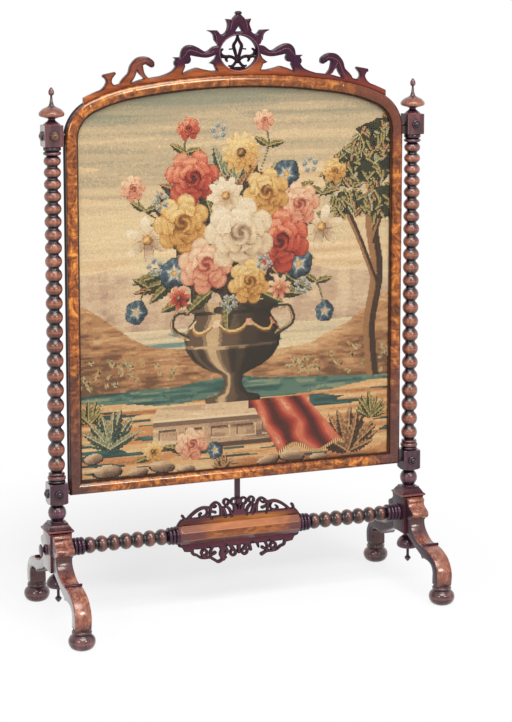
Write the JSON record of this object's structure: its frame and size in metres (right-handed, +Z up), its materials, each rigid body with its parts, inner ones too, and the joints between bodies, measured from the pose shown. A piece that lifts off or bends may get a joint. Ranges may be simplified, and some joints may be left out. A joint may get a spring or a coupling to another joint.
{
  "type": "cheval fire screen",
  "caption": "Free-standing cheval fire screen: arched cushion-moulded frame with needlework under glass between bobbin-turned posts on scrolled trestle feet.",
  "frame": {"origin": "on the floor, under the middle of the screen", "axes": "+Z up, +X to the right as the front is faced, the front faces -Y"},
  "size_m": [0.905, 0.407, 1.3],
  "materials": {
    "turned_rosewood": "french polished",
    "leg_wood": "french polished",
    "dark_rosewood": "french polished",
    "fret_wood": "french polished",
    "crest_wood": "french polished",
    "burr_veneer": "french polished burr veneer",
    "ebonised_wood": "satin black",
    "plain_wood": "bare pine",
    "stained_board": "matt stained board",
    "glass": "clear",
    "needlework": "wool needlework on canvas",
    "brass": "aged",
    "iron": "dull"
  },
  "bodies": {
    "root": {"left_post": "turned_rosewood", "right_post": "turned_rosewood", "left_finial": "turned_rosewood", "right_finial": "turned_rosewood", "left_cap": "turned_rosewood", "right_cap": "turned_rosewood", "left_pedestal": "leg_wood", "right_pedestal": "leg_wood", "left_pendant": "dark_rosewood", "right_pendant": "dark_rosewood", "left_stretcher_knob": "dark_rosewood", "right_stretcher_knob": "dark_rosewood", "front_left_leg": "leg_wood", "front_right_leg": "leg_wood", "rear_left_leg": "leg_wood", "rear_right_leg": "leg_wood", "front_left_foot": "turned_rosewood", "front_right_foot": "turned_rosewood", "rear_left_foot": "turned_rosewood", "rear_right_foot": "turned_rosewood", "leg_dowels": "plain_wood", "front_bosses": "turned_rosewood", "outer_bosses": "turned_rosewood", "stretcher": "turned_rosewood", "upper_fret": "fret_wood", "lower_fret": "fret_wood", "support_bar": "dark_rosewood", "left_stile": "burr_veneer", "right_stile": "burr_veneer", "bottom_rail": "burr_veneer", "arch_crown": "burr_veneer", "left_arch_shoulder": "burr_veneer", "right_arch_shoulder": "burr_veneer", "left_arch_corner": "burr_veneer", "right_arch_corner": "burr_veneer", "frame_pins": "iron", "sight_slip": "ebonised_wood", "glass_pane": "glass", "needlework_canvas": "needlework", "strainer": "plain_wood", "back_board": "stained_board", "back_board_screws": "brass", "crest": "crest_wood", "crest_tracery": "dark_rosewood", "crest_dowels": "plain_wood"}
  },
  "joints": []
}
